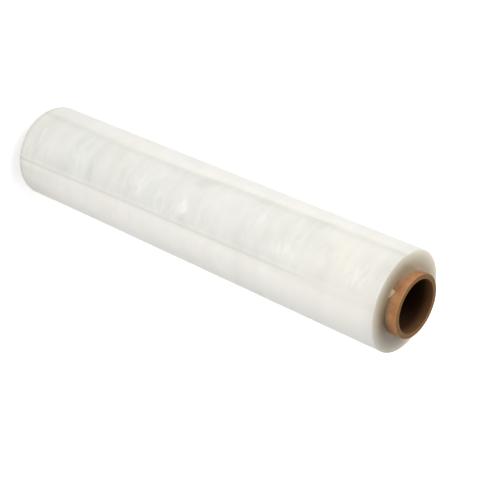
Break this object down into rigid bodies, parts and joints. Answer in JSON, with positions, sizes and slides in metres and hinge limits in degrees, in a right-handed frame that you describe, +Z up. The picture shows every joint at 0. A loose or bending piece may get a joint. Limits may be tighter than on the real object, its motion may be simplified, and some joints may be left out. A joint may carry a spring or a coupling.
{
  "type": "stretch wrap roll",
  "caption": "Hand roll of clear stretch film wound on a paperboard core that stands out at both ends, with a loose film tail along its side.",
  "frame": {"origin": "centre of the core's lower end, on the surface that the roll stands on", "axes": "+Z up along the roll's axis; -Y is the side with the film's loose tail"},
  "size_m": [0.097, 0.0973, 0.481],
  "materials": {
    "kraft_paperboard": "matte",
    "clear_film": "gloss"
  },
  "bodies": {
    "root": {"core": "kraft_paperboard", "film": "clear_film"}
  },
  "joints": []
}
